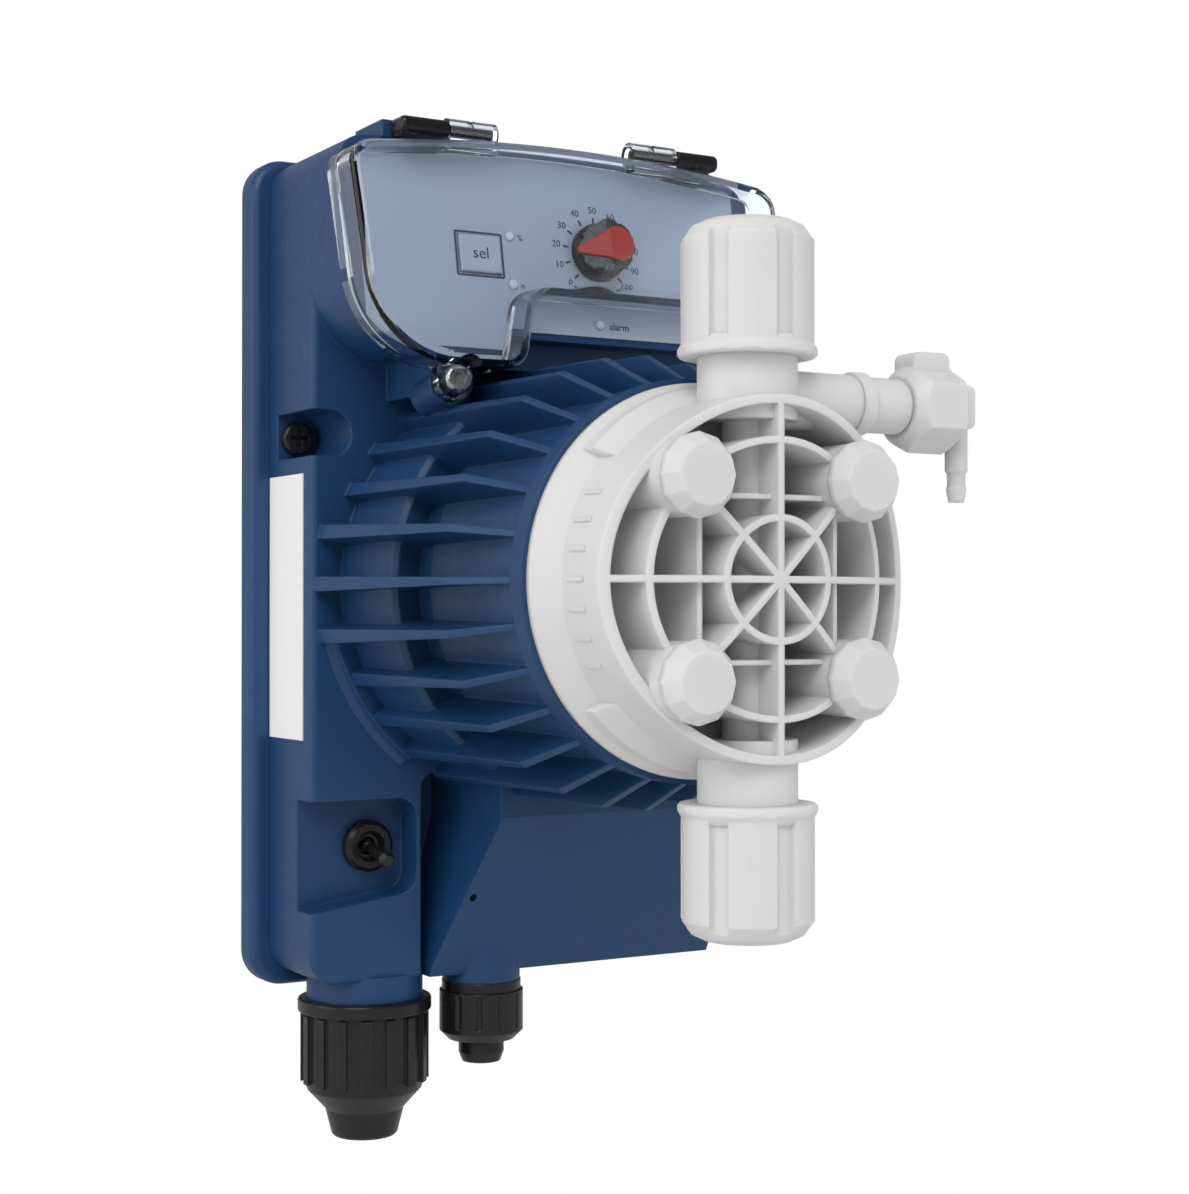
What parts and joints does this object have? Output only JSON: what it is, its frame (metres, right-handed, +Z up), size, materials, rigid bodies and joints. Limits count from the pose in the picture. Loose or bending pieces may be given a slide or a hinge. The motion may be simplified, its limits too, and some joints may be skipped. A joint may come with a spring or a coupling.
{
  "type": "diaphragm metering pump",
  "caption": "Wall-mounted solenoid diaphragm metering pump with ribbed barrel, white pump head, clear hinged panel cover and bleed valve.",
  "frame": {"origin": "on the wall face, at the centre of the bracket's hole pattern, level with the pump head's axis", "axes": "+X to the right as seen from the front, +Y into the wall (the front is -Y), +Z up"},
  "size_m": [0.1254, 0.1527, 0.2505],
  "materials": {
    "blue_housing": "fine satin moulded thermoplastic, blue",
    "black_plastic": "satin black polyamide",
    "white_head": "white fluoropolymer, soft sheen",
    "clear_plastic": "clear smoked-blue polycarbonate",
    "panel_film": "grey-blue printed film, plain lettering only",
    "red_plastic": "glossy red",
    "key_grey": "light grey soft-touch",
    "light_pipe": "tinted light pipes",
    "bright_steel": "bright stainless steel",
    "dark_steel": "oiled solenoid iron",
    "winding": "lacquered copper winding on its former",
    "board": "green circuit board",
    "rubber": "black elastomer",
    "ptfe": "white fluoropolymer sheet",
    "ceramic": "polished ceramic",
    "white_label": "plain white film, no print"
  },
  "bodies": {
    "pump": {"wall_bracket": "blue_housing", "rear_cover": "blue_housing", "housing_gasket": "rubber", "rear_cover_screws": "bright_steel", "case_screws": "black_plastic", "front_housing": "blue_housing", "side_label": "white_label", "panel_film": "panel_film", "key_switch": "black_plastic", "status_lights": "light_pipe", "potentiometer": "black_plastic", "control_board": "board", "cover_screw_insert": "black_plastic", "hinge_block_left": "black_plastic", "hinge_block_right": "black_plastic", "switch_body": "black_plastic", "switch_nut": "black_plastic", "solenoid_yoke": "dark_steel", "solenoid_coil": "winding", "solenoid_pole": "dark_steel", "return_spring": "bright_steel", "plunger_stop": "rubber", "backing_ring": "white_head", "diaphragm": "ptfe", "pump_head": "white_head", "head_bolts": "bright_steel", "head_washers": "bright_steel", "bolt_caps": "white_head", "discharge_cartridge": "white_head", "discharge_seat": "rubber", "discharge_seal": "rubber", "discharge_nipple": "white_head", "union_nut_top": "white_head", "suction_cartridge": "white_head", "suction_seat": "rubber", "suction_seal": "rubber", "suction_nipple": "white_head", "union_nut_bottom": "white_head", "bleed_body": "white_head", "bleed_stem": "white_head", "gland_body": "black_plastic", "gland_seal": "rubber", "gland_nut": "black_plastic", "signal_gland_body": "black_plastic", "signal_gland_nut": "black_plastic"},
    "cover": {"clear_cover": "clear_plastic", "cover_screw": "bright_steel"},
    "rate_knob": {"knob_body": "black_plastic", "knob_pointer": "red_plastic", "pot_shaft": "bright_steel"},
    "key": {"select_key": "key_grey"},
    "switch": {"switch_lever": "black_plastic"},
    "bleed_valve": {"bleed_knob": "white_head"},
    "stroke": {"plunger": "dark_steel", "push_rod": "bright_steel"},
    "discharge_check": {"discharge_ball": "ceramic"},
    "suction_check": {"suction_ball": "ceramic"}
  },
  "joints": [
    {"name": "cover_hinge", "type": "hinge", "parent": "pump", "child": "cover", "pos_m": [0, -0.055, 0.109], "axis": [-1, 0, 0], "range_deg": [0, 110]},
    {"name": "rate_knob_turn", "type": "hinge", "parent": "pump", "child": "rate_knob", "pos_m": [0.01, -0.05379, 0.0827], "axis": [0, -0.9833, 0.1822], "range_deg": [-229, 41]},
    {"name": "key_press", "type": "slide", "parent": "pump", "child": "key", "axis": [0, 0.9833, -0.1822], "range_m": [0, 0.0005], "stiffness_N_per_m": 2000, "springref_m": -0.0003},
    {"name": "power_switch_toggle", "type": "hinge", "parent": "pump", "child": "switch", "pos_m": [-0.0395, -0.0265, -0.0652], "axis": [-1, 0, 0], "range_deg": [0, 24]},
    {"name": "bleed_valve_turn", "type": "hinge", "parent": "pump", "child": "bleed_valve", "pos_m": [0.0476, -0.1357, 0.0393], "axis": [1, 0, 0], "range_deg": [0, 180]},
    {"name": "stroke_slide", "type": "slide", "parent": "pump", "child": "stroke", "axis": [0, -1, 0], "range_m": [0, 0.00125], "stiffness_N_per_m": 3000, "springref_m": -0.001, "deforming": ["return_spring", "diaphragm"]},
    {"name": "discharge_ball_lift", "type": "slide", "parent": "pump", "child": "discharge_check", "axis": [0, 0, 1], "range_m": [0, 0.0014]},
    {"name": "suction_ball_lift", "type": "slide", "parent": "pump", "child": "suction_check", "axis": [0, 0, 1], "range_m": [0, 0.0014]}
  ]
}
